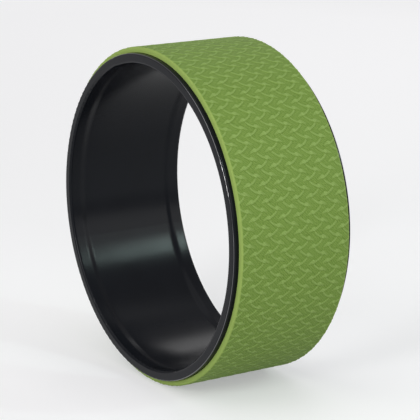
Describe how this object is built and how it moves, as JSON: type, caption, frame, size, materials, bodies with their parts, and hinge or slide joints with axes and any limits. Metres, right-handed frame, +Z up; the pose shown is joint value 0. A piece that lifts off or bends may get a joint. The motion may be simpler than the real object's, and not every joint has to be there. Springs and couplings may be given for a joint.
{
  "type": "yoga wheel",
  "caption": "Upright exercise hoop: a hollow black moulded ring with raised rims, wrapped in a green woven-pattern foam mat, for back stretches and balance work.",
  "frame": {"origin": "the wheel's centre, on its axle line at mid-width", "axes": "+Y along the axle line, from the front rim to the rear rim; +Z up as the wheel stands; +X along the rolling direction"},
  "size_m": [0.33, 0.13, 0.33],
  "materials": {
    "hoop_plastic": "satin moulded ABS",
    "mat_foam": "embossed foam",
    "adhesive_film": "contact adhesive",
    "seam_glue": "solvent-bonded"
  },
  "bodies": {
    "root": {"front_half_shell": "hoop_plastic", "rear_half_shell": "hoop_plastic", "outer_seam_bond": "seam_glue", "inner_seam_bond": "seam_glue", "mat_adhesive": "adhesive_film", "mat": "mat_foam", "mat_seam_bond": "seam_glue"}
  },
  "joints": []
}
